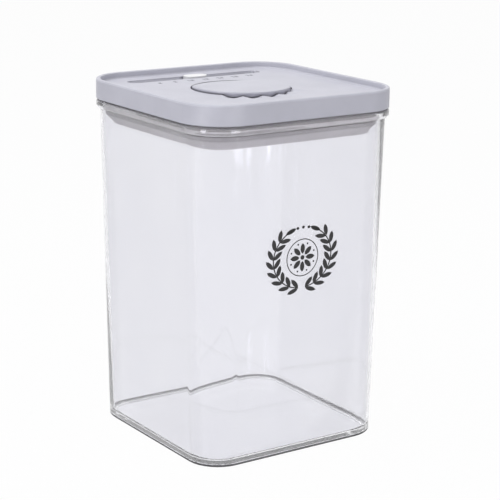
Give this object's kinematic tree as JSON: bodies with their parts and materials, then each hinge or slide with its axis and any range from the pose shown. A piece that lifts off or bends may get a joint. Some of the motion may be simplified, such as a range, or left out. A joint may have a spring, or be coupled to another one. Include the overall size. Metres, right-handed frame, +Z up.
{
  "type": "airtight storage canister",
  "caption": "Square clear plastic storage canister with a grey airtight lid whose round disc lifts to free the seal, and a date slider.",
  "frame": {"origin": "middle of the base, on the surface that the canister stands on", "axes": "+Z up, -Y the front, which carries the print and the disc's finger lip, +X to the right seen from the front"},
  "size_m": [0.1208, 0.1208, 0.183],
  "materials": {
    "clear_plastic": "clear, polished",
    "grey_plastic": "satin",
    "inner_plastic": "satin",
    "silicone": "matte",
    "white_plastic": "satin",
    "steel": "bright"
  },
  "bodies": {
    "canister": {"canister_body": "clear_plastic"},
    "lid": {"lid_cover": "grey_plastic", "lid_liner": "inner_plastic", "liner_screw_1": "steel", "liner_screw_2": "steel", "liner_screw_3": "steel", "liner_screw_4": "steel", "hinge_rod": "steel", "seal_gasket": "silicone", "return_spring_1": "steel", "return_spring_2": "steel", "return_spring_3": "steel", "return_spring_4": "steel"},
    "lift_disc": {"disc_cap": "grey_plastic", "lever_frame": "inner_plastic", "lever_screw_1": "steel", "lever_screw_2": "steel"},
    "seal_plate": {"seal_plate": "inner_plastic", "follower_pin": "steel"},
    "date_slider": {"slider_knob": "white_plastic", "slider_clip": "inner_plastic"}
  },
  "joints": [
    {"name": "lid_lift", "type": "slide", "parent": "canister", "child": "lid", "axis": [0, 0, 1], "range_m": [0, 0.06]},
    {"name": "disc_lift", "type": "hinge", "parent": "lid", "child": "lift_disc", "pos_m": [0, 0.008, 0.1773], "axis": [-1, 0, 0], "range_deg": [0, 40]},
    {"name": "seal_plate_drop", "type": "slide", "parent": "lid", "child": "seal_plate", "axis": [0, 0, -1], "range_m": [0, 0.0025], "deforming": ["seal_gasket", "return_spring_1", "return_spring_2", "return_spring_3", "return_spring_4"]},
    {"name": "date_slide", "type": "slide", "parent": "lid", "child": "date_slider", "axis": [1, 0, 0], "range_m": [-0.0339, 0.0339]}
  ],
  "couplings": [
    {"joint": "disc_lift", "follows": "seal_plate_drop", "rad_per_m": 279.25}
  ]
}
